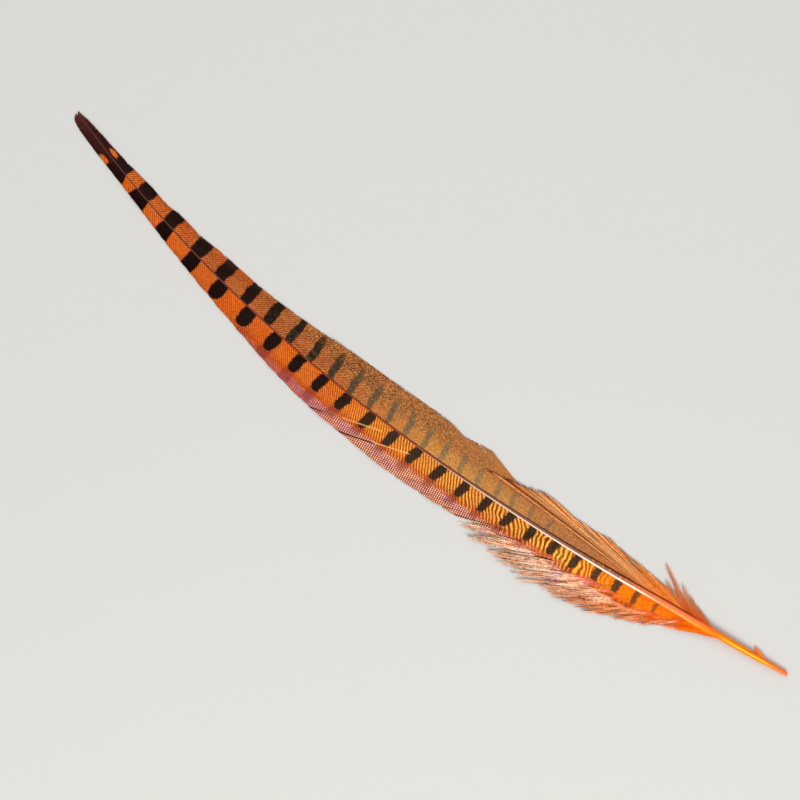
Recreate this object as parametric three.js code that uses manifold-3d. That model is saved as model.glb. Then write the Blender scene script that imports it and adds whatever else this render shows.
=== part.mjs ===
// The long central tail feather of a cock pheasant, lying on a flat surface with its upper side up.
// Millimetres, +Z up. X runs from the quill's cut end to the tip, and +Y is the left vane's side.
// Shapes are set out in the feather's own terms: "along" is the distance along the shaft from the cut
// end, "out" is the distance sideways from the shaft's centre line (left is positive), "up" is height.
import * as THREE from "three";
import Module from "manifold-3d";

// Driving dimensions
const CHORD = 498.4; // straight from the cut end of the quill to the tip
const BOW = 84.5; // sideways bow of the shaft towards the left
const BOW_TIPWARD = 58; // how much more it bows towards the tip
const VANE_THICKNESS = 0.8;
const VANE_RIM = 0.7; // top of the vane where its margin lies flat on the surface
const VANE_START = 63.5; // where the vanes' lowest barbs end, along the shaft
const VANE_ROOT = 0.3; // how far the vanes reach into the shaft
const BARB_CURVE = 1.1; // above 1, barbs leave the shaft steeply and bend towards the tip
const LOCK_PITCH = 12; // barbs cling together in locks this wide at the margin
const LOCK_CROWN = 0.4; // height of a lock's crown over the crease beside it
const CREASE_NOTCH = 0.35; // how far the margin steps back at a crease
const LOOSE_LOCKS = 23; // long loose locks of the left vane's lower third
const LOOSE_FIRST = 86; // where the first of them has its tip, along the shaft
const LOOSE_LAST = 203;
const LOOSE_WIDTH = 6.4;
const QUILL_SLANT = 0.7; // how far the quill's cut end slants along for each unit outwards
const SHAFT_SIDES = 8;
const SHAFT_STEPS = 26;

// The shaft from above and from the side, as [along, size] pairs.
const SHAFT_WIDTH = along([
  [0, 2.3], [14, 3.2], [33, 3.9], [55, 4.1], [82, 3.6], [110, 3.3], [137, 2.75],
  [165, 2.1], [192, 1.7], [247, 1.2], [400, 0.9], [505, 0.5],
]);
const SHAFT_DEPTH = along([
  [0, 2.3], [14, 3.4], [33, 3.9], [90, 3.6], [180, 2.6], [300, 1.9], [420, 1.2], [505, 0.5],
]);
const SHAFT_RISE = along([
  [0, 1.2], [33, 2.2], [90, 3.8], [180, 5.4], [270, 5.4], [360, 3.9], [440, 2], [505, 0.5],
]);
// Half the width over which each vane slopes down from the shaft before it lies flat.
const SPREAD = along([[40, 7], [100, 11], [200, 16], [300, 15], [400, 8.5], [505, 3]]);

// How far each vane's close part reaches from the shaft, as [along, out] pairs.
const LEFT_MARGIN = along([
  [63, 0.6], [70, 4], [77, 7.8], [86, 10.2], [99, 11.5], [132, 12.7], [165, 14.2], [187, 16.2],
  [203, 19.2], [220, 20], [250, 20.8], [275, 19.9], [305, 19], [330, 16.7], [357, 13.4],
  [385, 10.6], [415, 8], [448, 5.6], [470, 5], [490, 4.8], [498, 3.9], [501.5, 2.4], [503, 0.3],
]);
const RIGHT_MARGIN = along([
  [63, 0.6], [72, 5], [80, 8.4], [88, 11], [99, 12], [110, 13.2], [118, 16], [130, 16.2],
  [143, 14.6], [152, 15.7], [160, 18], [168, 19.2], [176, 17.4], [184, 15.8], [192, 18.4],
  [201, 20.9], [212, 20.8], [221, 19.3], [231, 20.9], [247, 21.4], [264, 20.6], [297, 19.2],
  [330, 15.4], [357, 12.7], [396, 10.4], [407, 8.9], [423, 8.5], [434, 6.8], [445, 6.8],
  [462, 5.2], [478, 3.9], [492, 2.7], [499, 1.6], [503, 0.3],
]);
// Both vanes' reach without the lobes of their margins, which sets where each barb leaves the shaft.
const VANE_REACH = along([
  [63, 0.6], [80, 8], [100, 12], [150, 15], [200, 19], [250, 21], [300, 19], [357, 13],
  [415, 8], [470, 5], [492, 3.8], [503, 0.3],
]);
// How much a barb gains along the shaft for each unit outwards.
const BARB_SWEEP = along([
  [60, 1.3], [80, 1.7], [100, 2.2], [140, 2.6], [200, 2.85], [330, 3], [440, 4], [470, 3], [505, 1.4],
]);
// Where the tips of the loose locks reach on the left, and how much those gain along the shaft.
const LOOSE_REACH = along([[84, 17], [110, 25.5], [137, 30.5], [165, 31.5], [187, 28], [204, 24.5]]);
const LOOSE_SWEEP = along([[84, 1.36], [110, 1.45], [140, 1.8], [170, 2.15], [205, 2.4]]);
// The downy wisps at the foot of both vanes, as [root along, tip along, tip out, width].
const WISPS = [
  [47, 62, -8.4, 2.6], [51, 67.5, -11.4, 2.8], [54, 75.5, -14.8, 2.6], [58, 81, -13.6, 3.6],
  [60, 89, -20.4, 2.8], [63, 86, -11.5, 4], [45, 61, 5.2, 3], [50, 68, 7.4, 3.4], [55, 77, 9.6, 3.6],
];
const WISP_BEND = 0.8;
// The small torn flap that stands out from the right side of the quill.
const FLAP = { root: [17, -1], tip: [23.4, -4.7], width: 2, bend: 0.3, tipUp: 1.6 };
// Open slits between the barbs of both vanes, as [from, to, width], each end as [along, out].
const SLITS = [
  [[98, -9], [109, -12.2], 0.9],
  [[131, -12.6], [141, -12.3], 0.8],
  [[203, -12], [183.5, -16.4], 0.7],
  [[240, 6], [262, 11], 0.4],
];

const barbColour = new THREE.Color(0.62, 0.27, 0.07);

const wasm = await Module();
wasm.setup();

// A smooth size along the shaft through [along, size] pairs.
function along(pairs) {
  const places = pairs.map(([place]) => place);
  const curve = new THREE.CubicInterpolant(places, pairs.map(([, size]) => size), 1);
  return (place) => curve.evaluate(THREE.MathUtils.clamp(place, places[0], places.at(-1)))[0];
}

// The shaft's centre line seen from above.
class CentreLine extends THREE.Curve {
  getPoint(u) {
    return new THREE.Vector3(CHORD * u, u * (1 - u) * (BOW + BOW_TIPWARD * u), 0);
  }
}
const centreLine = new CentreLine();
centreLine.arcLengthDivisions = 1000;
const LENGTH = centreLine.getLength();

// A point given in the feather's own terms.
function place(alongShaft, out, up) {
  const u = THREE.MathUtils.clamp(alongShaft / LENGTH, 0, 1);
  const ahead = centreLine.getTangentAt(u);
  const point = centreLine.getPointAt(u).addScaledVector(ahead, alongShaft - u * LENGTH);
  return point.add(new THREE.Vector3(-ahead.y * out, ahead.x * out, up));
}

// A closed solid through a row of rings, each ring the same number of points round a cross-section.
// The ends are closed by strips across the ring.
function loft(rings) {
  const sides = rings[0].length;
  const corners = [];
  const quad = (a, b, c, d) => corners.push(a, b, c, a, c, d);
  for (let ring = 0; ring < rings.length - 1; ring++)
    for (let i = 0; i < sides; i++) {
      const next = (i + 1) % sides;
      const here = ring * sides;
      quad(here + i, here + next, here + sides + next, here + sides + i);
    }
  const last = (rings.length - 1) * sides;
  for (let i = 0; i < sides / 2 - 1; i++) {
    const [a, b, c, d] = [i, i + 1, sides - 2 - i, sides - 1 - i];
    quad(d, c, b, a);
    quad(last + a, last + b, last + c, last + d);
  }
  const points = new Float32Array(rings.flat().flatMap((point) => point.toArray()));
  const solid = solidOf(points, new Uint32Array(corners));
  return solid.volume() > 0 ? solid : solidOf(points, new Uint32Array(corners.reverse()));
}

function solidOf(vertProperties, triVerts) {
  return new wasm.Manifold(new wasm.Mesh({ numProp: 3, vertProperties, triVerts }));
}

// The shaft: a tapering oval tube from the slanting cut end of the quill to the tip of the vanes.
function shaft() {
  const rings = [];
  for (let step = 0; step <= SHAFT_STEPS; step++) {
    // Stations crowd towards the quill, where the shape changes most.
    const station = (LENGTH - 1) * (step / SHAFT_STEPS) ** 1.3;
    const slant = step === 0 ? QUILL_SLANT : 0;
    const ring = [];
    for (let side = 0; side < SHAFT_SIDES; side++) {
      const angle = ((side + 0.5) / SHAFT_SIDES) * 2 * Math.PI;
      const out = (Math.sin(angle) * SHAFT_WIDTH(station)) / 2;
      const up = SHAFT_RISE(station) - (Math.cos(angle) * SHAFT_DEPTH(station)) / 2;
      ring.push(place(station - slant * out, out, Math.max(0, up)));
    }
    rings.push(ring);
  }
  return loft(rings);
}

// Height of the vane's upper face: it slopes down from the shaft, then lies flat on the surface.
function vaneTop(alongShaft, out) {
  const root = SHAFT_RISE(alongShaft) + 0.2 * SHAFT_DEPTH(alongShaft);
  const slope = Math.min(1, Math.abs(out) / SPREAD(alongShaft)) ** 1.5;
  return Math.max(VANE_RIM, root + (VANE_RIM - root) * slope);
}

// One vane: a thin sheet whose sections follow the barbs, so its locks and creases run with them.
function vane(side, margin) {
  const rows = [-VANE_ROOT, 0.4, 0.8, 1]; // shares of the margin; the first is inside the shaft
  const phases = [0, 0.45]; // places across one lock, its crease first
  const crowns = [0, LOCK_CROWN];
  const locks = Math.round((LENGTH - VANE_START) / LOCK_PITCH);
  const rings = [];
  for (let i = 0; i <= locks * phases.length; i++) {
    const phase = i % phases.length;
    const lock = Math.floor(i / phases.length) + phases[phase];
    const edge = Math.min(VANE_START + (lock * (LENGTH - VANE_START)) / locks, LENGTH);
    const width = margin(edge) - (phase === 0 ? CREASE_NOTCH : 0);
    const foot = edge - BARB_SWEEP(edge) * VANE_REACH(edge);
    const top = [];
    const bottom = [];
    for (const row of rows) {
      const share = Math.max(row, 0);
      const station = foot + (edge - foot) * share ** BARB_CURVE;
      const out = side * (row < 0 ? row : row * width);
      const height = vaneTop(station, out);
      top.push(place(station, out, height + crowns[phase] * share));
      bottom.push(place(station, out, Math.max(0, height - VANE_THICKNESS)));
    }
    rings.push([...top, ...bottom.reverse()]);
  }
  return loft(rings);
}

// A loose lock: a slim pointed blade of barbs along a curve from root to tip, each [along, out].
// It leaves the vane at the vane's own height and comes to rest at the height given for its tip.
function looseLock({ root, tip, width, bend, tipUp }) {
  const steps = 4;
  const middle = [(root[0] + tip[0]) / 2 - bend, (root[1] + tip[1]) / 2 + Math.sign(tip[1]) * bend];
  const path = new THREE.QuadraticBezierCurve(
    new THREE.Vector2(...root), new THREE.Vector2(...middle), new THREE.Vector2(...tip),
  );
  const rings = [];
  for (let step = 0; step <= steps; step++) {
    const share = step / steps;
    const { x: station, y: out } = path.getPoint(share);
    const ahead = path.getTangent(share);
    const half = (width / 2) * Math.min(1, 0.3 + 2 * share) * (1 - 0.93 * share ** 3);
    const resting = vaneTop(station, out) - VANE_THICKNESS / 2;
    const up = THREE.MathUtils.lerp(resting, tipUp, share ** 2);
    const thick = 0.3 + 0.4 * Math.sin(Math.PI * Math.sqrt(share));
    const across = (reach, rise) =>
      place(station - ahead.y * reach, out + ahead.x * reach, Math.max(0, up + rise));
    rings.push([across(-half, 0), across(0, thick), across(half, 0), across(0, -0.5 * thick)]);
  }
  return loft(rings);
}

// The long loose barbs that fringe the lower third of the left vane.
function leftFringe() {
  const locks = [];
  for (let i = 0; i < LOOSE_LOCKS; i++) {
    const tipAlong = THREE.MathUtils.lerp(LOOSE_FIRST, LOOSE_LAST, i / (LOOSE_LOCKS - 1));
    const unlike = THREE.MathUtils.seededRandom(i + 5);
    const reach = LOOSE_REACH(tipAlong) * (1 - 0.14 * unlike);
    const rootOut = 0.5 * LEFT_MARGIN(tipAlong - 14);
    const root = [tipAlong - (reach - rootOut) * LOOSE_SWEEP(tipAlong), rootOut];
    const [bend, tipUp] = [1.6 - 2 * unlike, 0.5 + 2.2 * unlike];
    locks.push(looseLock({ root, tip: [tipAlong, reach], width: LOOSE_WIDTH, bend, tipUp }));
  }
  return locks;
}

// The short downy locks at the foot of both vanes, each third one raised further.
function footWisps() {
  return WISPS.map(([rootAlong, tipAlong, tipOut, width], i) => {
    const root = [rootAlong, Math.sign(tipOut)];
    const tipUp = 0.4 + 0.7 * (i % 3);
    return looseLock({ root, tip: [tipAlong, tipOut], width, bend: WISP_BEND, tipUp });
  });
}

// A slim open slit through the vane between two points, each [along, out], widest in its middle.
function slit(from, to, width) {
  const [start, end] = [place(...from, 0), place(...to, 0)];
  const across = new THREE.Vector2(start.y - end.y, end.x - start.x).setLength(width);
  const middle = new THREE.Vector2((start.x + end.x) / 2, (start.y + end.y) / 2);
  const outline = new THREE.Shape();
  outline.moveTo(start.x, start.y);
  outline.quadraticCurveTo(middle.x - across.x, middle.y - across.y, end.x, end.y);
  outline.quadraticCurveTo(middle.x + across.x, middle.y + across.y, start.x, start.y);
  const depth = 12;
  const cutter = new THREE.ExtrudeGeometry(outline, { depth, bevelEnabled: false, curveSegments: 4 });
  cutter.translate(0, 0, -depth / 4);
  return solidFrom(cutter);
}

// A three.js geometry's closed surface as a solid, its corners merged.
function solidFrom(geometry) {
  const position = geometry.getAttribute("position");
  const corners = new Map();
  const points = [];
  const triangles = [];
  for (let i = 0; i < position.count; i++) {
    const corner = [position.getX(i), position.getY(i), position.getZ(i)];
    const key = corner.map((value) => value.toFixed(4)).join();
    if (!corners.has(key)) {
      corners.set(key, corners.size);
      points.push(...corner);
    }
    triangles.push(corners.get(key));
  }
  return solidOf(new Float32Array(points), new Uint32Array(triangles));
}

// Everything grows from the one shaft, so it is one solid.
function feather() {
  const grown = [
    vane(1, LEFT_MARGIN),
    vane(-1, RIGHT_MARGIN),
    ...leftFringe(),
    ...footWisps(),
    looseLock(FLAP),
  ];
  const whole = grown.reduce((sum, piece) => sum.add(piece), shaft());
  const open = SLITS.reduce((rest, [from, to, width]) => rest.subtract(slit(from, to, width)), whole);
  // The outer surface alone is kept, so pockets sealed between overlapping locks are filled.
  return open.decompose().reduce((most, body) => (body.volume() > most.volume() ? body : most));
}

function geometryOf(solid) {
  const mesh = solid.getMesh();
  const geometry = new THREE.BufferGeometry();
  geometry.setAttribute("position", new THREE.BufferAttribute(mesh.vertProperties, 3));
  geometry.setIndex(new THREE.BufferAttribute(mesh.triVerts, 1));
  geometry.computeBoundingBox();
  const { min, max } = geometry.boundingBox;
  return geometry.translate(-(min.x + max.x) / 2, -(min.y + max.y) / 2, -min.z);
}

const mesh = new THREE.Mesh(
  geometryOf(feather()),
  new THREE.MeshStandardMaterial({ color: barbColour, roughness: 0.6, metalness: 0 }),
);
mesh.name = "feather";

const group = new THREE.Group();
group.add(mesh);
export default group;
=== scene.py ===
"""The long central tail feather of a cock pheasant, lying on a flat surface with its upper side up.

Shapes are set out in the feather's own terms, in millimetres: "along" is the distance along the shaft
from the quill's cut end, "out" the distance sideways from the shaft's centre line (left is positive),
and "up" the height over the surface.
"""
import math

import bpy
import numpy as np
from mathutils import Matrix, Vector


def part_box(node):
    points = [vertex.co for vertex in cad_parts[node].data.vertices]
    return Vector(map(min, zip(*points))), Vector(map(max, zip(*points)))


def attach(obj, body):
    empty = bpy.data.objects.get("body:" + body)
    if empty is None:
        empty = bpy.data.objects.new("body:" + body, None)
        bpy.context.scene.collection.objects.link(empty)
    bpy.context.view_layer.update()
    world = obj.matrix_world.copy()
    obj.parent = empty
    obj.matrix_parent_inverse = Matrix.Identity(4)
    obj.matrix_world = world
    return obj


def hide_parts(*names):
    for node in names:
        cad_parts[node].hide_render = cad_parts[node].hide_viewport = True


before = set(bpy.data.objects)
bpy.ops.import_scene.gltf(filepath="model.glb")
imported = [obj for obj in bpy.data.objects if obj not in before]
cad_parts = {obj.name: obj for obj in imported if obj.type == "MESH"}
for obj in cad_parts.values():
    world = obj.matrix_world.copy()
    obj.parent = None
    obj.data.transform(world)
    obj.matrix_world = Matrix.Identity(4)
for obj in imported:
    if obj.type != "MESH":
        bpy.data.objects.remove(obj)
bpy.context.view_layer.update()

bl_info = {
    "name": "Pheasant Tail Feather",
    "version": (1, 0, 0),
    "blender": (4, 5, 0),
    "location": "3D View > Sidebar > Feather",
    "description": "Grows a barred tail feather: its shaft, two vanes of barbs, loose barbs and down",
    "category": "Add Mesh",
}

MM = 0.001
BODY = "root"
NODE = "feather"
LOW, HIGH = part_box(NODE)
BAKE_MAP = "OFBake"

# The feather's centre line from above: a chord, the bow beside it and how much the bow grows tipward.
CHORD = 498.4
BOW = 84.5
BOW_TIPWARD = 58
# The middle of the quill's cut end, measured from the box's low corner in X and high corner in Y.
QUILL_IN_BOX = (0.911, -53.839)


# --- The feather's own terms -------------------------------------------------------------------------


def along(*pairs):
    """A smooth size along the shaft through (along, size) pairs, with the solid's own curve."""
    places, sizes = np.array(pairs, float).T

    def size(place):
        place = np.clip(place, places[0], places[-1])
        after = np.clip(np.searchsorted(places, place, side="right"), 1, len(places) - 1)
        before = after - 1
        earlier = np.where(before > 0, before - 1, after)
        later = np.where(after < len(places) - 1, (after + 1) % len(places), before)
        step = places[after] - places[before]
        weight_in = 0.5 * step / (places[before] - places[earlier])
        weight_out = 0.5 * step / (places[later] - places[after])
        p = (place - places[before]) / step
        return (
            sizes[earlier] * weight_in * (-(p**3) + 2 * p**2 - p)
            + sizes[before] * ((1 + weight_in) * p**3 - (1.5 + 2 * weight_in) * p**2)
            + sizes[before] * ((weight_in - 0.5) * p + 1)
            + sizes[after] * (-(1 + weight_out) * p**3 + (1.5 + weight_out) * p**2 + 0.5 * p)
            + sizes[later] * weight_out * (p**3 - p**2)
        )

    return size


def straight(*pairs):
    """A size along the shaft that changes evenly between (along, size) pairs."""
    places, sizes = np.array(pairs, float).T
    return lambda place: np.interp(place, places, sizes)


def directions(way):
    """Unit steps ahead along a way and to its left, seen from above."""
    ahead = way / np.maximum(np.linalg.norm(way, axis=-1, keepdims=True), 1e-9)
    return ahead, np.stack([-ahead[..., 1], ahead[..., 0]], -1)


def bowed(share):
    """A point of the centre line, and the directions ahead and to the left, by its share of the chord."""
    bow = BOW + BOW_TIPWARD * share
    point = np.stack([CHORD * share, share * (1 - share) * bow], -1)
    rise = (1 - 2 * share) * bow + share * (1 - share) * BOW_TIPWARD
    return (point, *directions(np.stack([np.full_like(rise, CHORD), rise], -1)))


CHORD_SHARES = np.linspace(0, 1, 2001)
REACHED = np.append(0, np.cumsum(np.linalg.norm(np.diff(bowed(CHORD_SHARES)[0], axis=0), axis=1)))
LENGTH = REACHED[-1]
QUILL_END = np.array([LOW.x / MM + QUILL_IN_BOX[0], HIGH.y / MM + QUILL_IN_BOX[1]])


def place(station, out, up):
    """Points of the frame, in metres, for places given in the feather's own terms."""
    station, out, up = np.broadcast_arrays(station, out, up)
    point, ahead, aside = bowed(np.interp(station, REACHED, CHORD_SHARES))
    beyond = station - np.clip(station, 0, LENGTH)
    flat = QUILL_END + point + ahead * beyond[..., None] + aside * out[..., None]
    return np.concatenate([flat, np.maximum(up, 0)[..., None]], -1) * MM


# The shaft from above and from the side.
SHAFT_WIDTH = along(
    (0, 2.3), (14, 3.2), (33, 3.9), (55, 4.4), (72, 4.4), (90, 4), (110, 3.7), (137, 3.1),
    (165, 2.6), (192, 2.1), (247, 1.3), (400, 0.9), (505, 0.5),
)
# How far the shaft lies to the right of the line that the vanes are set out from.
SHAFT_SHIFT = along(
    (0, 0), (30, 0.15), (55, 0.7), (75, 1.1), (90, 1.05), (110, 0.82), (140, 0.55), (180, 0.36),
    (240, 0.15), (300, 0), (505, 0),
)
SHAFT_DEPTH = along(
    (0, 2.3), (14, 3.4), (33, 3.9), (90, 3.6), (180, 2.6), (300, 1.9), (420, 1.2), (505, 0.5),
)
SHAFT_RISE = along(
    (0, 1.2), (33, 2.2), (90, 3.8), (180, 5.4), (270, 5.4), (360, 3.9), (440, 2), (505, 0.5),
)
# Half the width over which each vane slopes down from the shaft before it lies flat.
SPREAD = along((40, 7), (100, 11), (200, 16), (300, 15), (400, 8.5), (505, 3))
VANE_RIM = 0.3  # height of the barbs where they lie flat
VANE_START = 63.5

# How far each vane's close part reaches from the shaft.
LEFT_MARGIN = along(
    (63, 0.6), (70, 4), (77, 7.8), (86, 10.2), (99, 11.5), (132, 12.7), (165, 14.2), (187, 16.2),
    (203, 19.2), (220, 20), (250, 20.8), (275, 19.9), (305, 19), (330, 16.7), (357, 13.4),
    (385, 10.6), (415, 8), (448, 5.6), (470, 5), (490, 4.9), (498, 4.4), (501.5, 3.1), (503.2, 0.8),
)
RIGHT_MARGIN = along(
    (63, 0.6), (72, 5), (80, 8.4), (88, 11), (99, 12), (110, 13.2), (118, 16), (130, 16.2),
    (143, 14.6), (152, 15.7), (160, 18), (168, 19.2), (176, 17.4), (184, 15.8), (192, 18.4),
    (201, 20.9), (212, 20.8), (221, 19.3), (231, 20.9), (247, 21.4), (264, 20.6), (297, 19.2),
    (330, 15.4), (357, 12.7), (396, 10.4), (407, 8.9), (423, 8.5), (434, 6.8), (445, 6.8),
    (462, 5.2), (478, 3.9), (492, 2.7), (499, 1.6), (503, 0.3),
)
# Where the tips of the loose barbs reach on the left.
LOOSE_REACH = along((84, 17), (110, 25.5), (137, 30.5), (165, 31.5), (187, 28), (204, 24.5))
LOOSE_SLOPE = straight((84, 1.36), (110, 1.45), (140, 1.8), (170, 2.15), (205, 2.4))
# A dark line of painted shadow is laid along these barbs.
LOOSE_CREASE_SHADOW = 184.5  # where the barbs along the fringe's dark crease end

# The right vane's margin without its dips, which sets where each of its barbs starts and points.
RIGHT_GUIDE = along(
    (63, 0.6), (72, 5), (80, 8.4), (90, 11), (105, 13), (125, 15.5), (150, 17), (175, 18.5),
    (200, 20), (235, 21), (264, 20.6), (297, 19.2), (330, 15.4), (357, 12.7), (396, 10.4),
    (423, 8.3), (445, 6.6), (462, 5.2), (478, 3.9), (492, 2.7), (499, 1.6), (503, 0.3),
)

# Gain of a barb along the shaft for each unit outwards, and how late in its length it bends tipward.
SWEEP = ((60, 1.3), (80, 1.7), (100, 2.2), (140, 2.6), (200, 2.85), (330, 3))
LEFT_SWEEP = along(*SWEEP, (440, 4.2), (470, 3.4), (505, 1.3))
RIGHT_SWEEP = along(*SWEEP, (440, 4.6), (470, 3.6), (505, 1.3))
LEFT_CURVE = straight((60, 1.15), (180, 1.05), (220, 1), (320, 1), (400, 1.1), (505, 1.1))
RIGHT_CURVE = straight((60, 1.15), (505, 1.1))

# The dark bars, as (middle along the shaft, half width).
LEFT_BARS = (
    (80.8, 1.2), (93.4, 2.1), (105.9, 2.2), (118.3, 2.2), (132.1, 2.3), (146.4, 2.4), (161.2, 2.5),
    (175.5, 2.6), (190.4, 2.6), (205.4, 2.7), (221.3, 2.8), (237.7, 2.9), (253.4, 2.9), (269.7, 3),
    (286.3, 3.1), (302.6, 3.2), (319.2, 3.4), (337.1, 3.9), (357, 4.3), (378.4, 4.3), (399.8, 4.4),
    (421.8, 4.6), (443.8, 6), (463.2, 6.7),
)
RIGHT_BARS = (
    (154.6, 1.5), (166.7, 1.6), (178.8, 1.6), (188.7, 1.6), (201.3, 1.7), (212.9, 1.7), (225, 1.7),
    (237, 1.8), (249.2, 1.8), (261.3, 1.8), (274.2, 2), (287.4, 2.2), (301, 2.3), (315.9, 2.5),
    (330.8, 2.6), (347, 3), (363.8, 3.5), (382.5, 4), (401, 4.7), (423, 4.5), (444.2, 5.2),
    (463.9, 6),
)
# How far out the bars reach, how far they lean towards the tip for each unit outwards, and how much they
# narrow at the shaft.
LEFT_BAR_REACH = straight((80, 8.8), (165, 9.8), (240, 11), (360, 11), (385, 10.8), (398, 16), (505, 16))
RIGHT_BAR_REACH = straight(
    (150, 9), (190, 12), (235, 14.5), (260, 16), (300, 16.5), (330, 16.5), (370, 20), (505, 20)
)
LEFT_BAR_LEAN = straight(
    (80, 0), (130, 0.1), (165, 0.19), (275, 0.2), (320, 0.06), (380, 0), (440, -0.15)
)
RIGHT_BAR_LEAN = straight((150, 0.15), (200, 0.2), (300, 0.1), (340, 0.03), (380, 0), (505, 0))
LEFT_BAR_WAIST = straight((80, 1.3), (165, 1.5), (270, 1.55), (330, 1.3), (505, 1.1))
RIGHT_BAR_WAIST = straight((150, 2.2), (250, 2), (320, 1.35), (505, 1.1))
# The last orange spots in the dark tip: (along, out, half length, half width).
LEFT_TIP_SPOT = (472.8, 3.8, 4, 1.4)
RIGHT_TIP_SPOT = (472.3, 2.4, 3.5, 1.15)
TIP_START = 469

# Pitch of the fine stripes between the bars, how far they lean towards the quill and how much they waver.
LEFT_STRIPE_PITCH = straight(
    (60, 2.8), (150, 2.9), (170, 2.7), (198, 2.35), (214, 1.88), (245, 1.85), (262, 1.58), (295, 1.42),
    (330, 1.65), (355, 1.6), (505, 1.5),
)
LEFT_STRIPE_LEAN = straight(
    (60, 0.1), (135, 0.22), (155, 0.55), (200, 0.66), (245, 0.56), (262, 0.42), (300, 0.7), (330, 1),
    (505, 1.1),
)
LEFT_WAVER = straight((60, 0.55), (165, 0.5), (220, 0.26), (300, 0.13), (505, 0.12))
RIGHT_STRIPE_PITCH = straight(
    (60, 2.4), (300, 2.3), (350, 1.8), (390, 1.6), (415, 1.5), (435, 1.4), (505, 1.4)
)
RIGHT_STRIPE_LEAN = straight(
    (60, 1), (280, 1), (310, 1.4), (350, 1.2), (390, 1.25), (415, 1), (435, 0.8)
)
RIGHT_WAVER = straight((60, 0.3), (505, 0.22))
# Where the left vane's pink rim starts.
LEFT_RIM = straight(
    (60, 12.6), (275, 12.9), (308, 14.1), (330, 13.4), (352, 12.4), (362, 13.6), (505, 13.6)
)

# The drawn-out barbs over the lower right vane: their place in the bundle, root along the shaft, middle
# (along, out) and tip (along, out).
DRAWN_OUT = (
    (0, 59.4, 71.5, 5, 83.6, 9.6), (0.15, 64.9, 82.5, 6.9, 100.7, 12.6),
    (0.3, 68.8, 89.1, 7.4, 112.8, 14), (0.45, 72, 99, 8.5, 123.8, 16.5),
    (0.55, 74.8, 105.6, 9.1, 137.5, 15.8), (0.65, 77.6, 111.7, 9.3, 152.9, 17),
    (0.75, 80.3, 118.3, 9.5, 167.2, 19.2), (0.83, 82.5, 123.8, 9.2, 179.3, 15.6),
    (0.91, 84.7, 129.3, 8.6, 190.3, 13.2), (1, 86.9, 134.8, 7.5, 203, 11.9),
)
# The slits that stand open between them: their place in the bundle, start, end and width.
SLITS = ((0.35, 0.58, 0.9, 1.5), (0.71, 0.6, 0.86, 1.4))
SLIT_FADE = 0.07  # how far from a slit the barbs have closed up again, as a share of the bundle
# How much of the right vane's width the barbs under them fill.
UNDER_SHARE = straight((85, 0.75), (97, 0.7), (115, 0.72), (140, 0.78), (176, 0.88), (188, 1), (505, 1))
# The downy locks at the foot: side (1 is left), root along the shaft, tip (along, out) and width.
WISPS = (
    (-1, 49, 62, 8.6, 3.6), (-1, 51.5, 67.5, 11.2, 4), (-1, 54, 75.5, 14.8, 3.2),
    (-1, 58, 79, 12.4, 5), (-1, 60, 89, 20.4, 3.2), (-1, 62, 85, 12.2, 5),
    (1, 44, 61, 6.2, 4), (1, 48, 67, 8.6, 4.5), (1, 52, 73, 10.8, 4.5),
    (1, 56, 81, 12.6, 5), (1, 60, 89, 14, 5),
)


# --- Settings ----------------------------------------------------------------------------------------


def shade(red, green, blue):
    """A colour picked on a 0 to 255 scale, as the linear light that the shaders use."""
    parts = np.array([red, green, blue]) / 255
    linear = np.where(parts <= 0.04045, parts / 12.92, ((parts + 0.055) / 1.055) ** 2.4)
    return tuple(float(part) for part in linear)


def size_setting(name, description, size, **options):
    return bpy.props.FloatProperty(name=name, description=description, default=size, min=0, **options)


def length_setting(name, description, size):
    return size_setting(name, description, size * MM, subtype="DISTANCE", unit="LENGTH")


def colour_setting(name, description, *parts):
    return bpy.props.FloatVectorProperty(
        name=name, description=description, default=shade(*parts), min=0, max=1, subtype="COLOR"
    )


class FeatherSizes(bpy.types.PropertyGroup):
    """Sizes of the feather's barbs."""

    barb_pitch: length_setting("Barb pitch", "Spacing of the vanes' barbs along the margin", 0.55)
    barb_depth: length_setting("Barb depth", "Height of one barb's ridge over its edges", 0.16)
    overlap: size_setting("Overlap", "Half width of a barb as a share of the barbs' spacing", 0.9)
    loose_width: length_setting("Loose barb width", "Width of a loose barb in its middle", 0.46)
    barbule: length_setting("Barbule length", "Length of the hairs along a loose barb", 0.75)
    down: length_setting("Down length", "Length of the hairs along a downy barb at the foot", 1.5)
    wall: length_setting("Quill wall", "Thickness of the quill's wall at its cut end", 0.42)
    loose_barbs: bpy.props.IntProperty(
        name="Loose barbs", description="Number of loose barbs on the left", default=640, min=0
    )
    drawn_out_barbs: bpy.props.IntProperty(
        name="Drawn-out barbs", description="Number of them over the lower right vane", default=170, min=1
    )


class FeatherColours(bpy.types.PropertyGroup):
    """The feather's main colours."""

    quill: colour_setting("Quill", "Orange of the bare quill", 250, 130, 0)
    # The cream line is partly the shaft's own pale colour and partly a painted highlight on its lit left
    # side.
    cream: colour_setting("Cream", "Light line along the shaft", 246, 226, 208)
    # The mauve is partly the shaft's own colour and partly painted shade on its right side.
    mauve: colour_setting("Mauve", "Right side of the shaft", 140, 92, 74)
    right_bar: colour_setting("Right bars", "Olive grey of the right vane's fainter bars", 124, 112, 86)
    tip: colour_setting("Tip", "Maroon brown of the tip", 50, 19, 15)
    red: colour_setting("Red", "Red band along the left vane", 176, 62, 26)
    pink: colour_setting("Pink", "Pink of the left vane's outer margin", 204, 118, 92)
    fringe: colour_setting("Fringe", "Peach of the loose barbs", 238, 172, 124)
    down: colour_setting("Down", "Buff of the down at the foot", 216, 130, 80)


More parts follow.
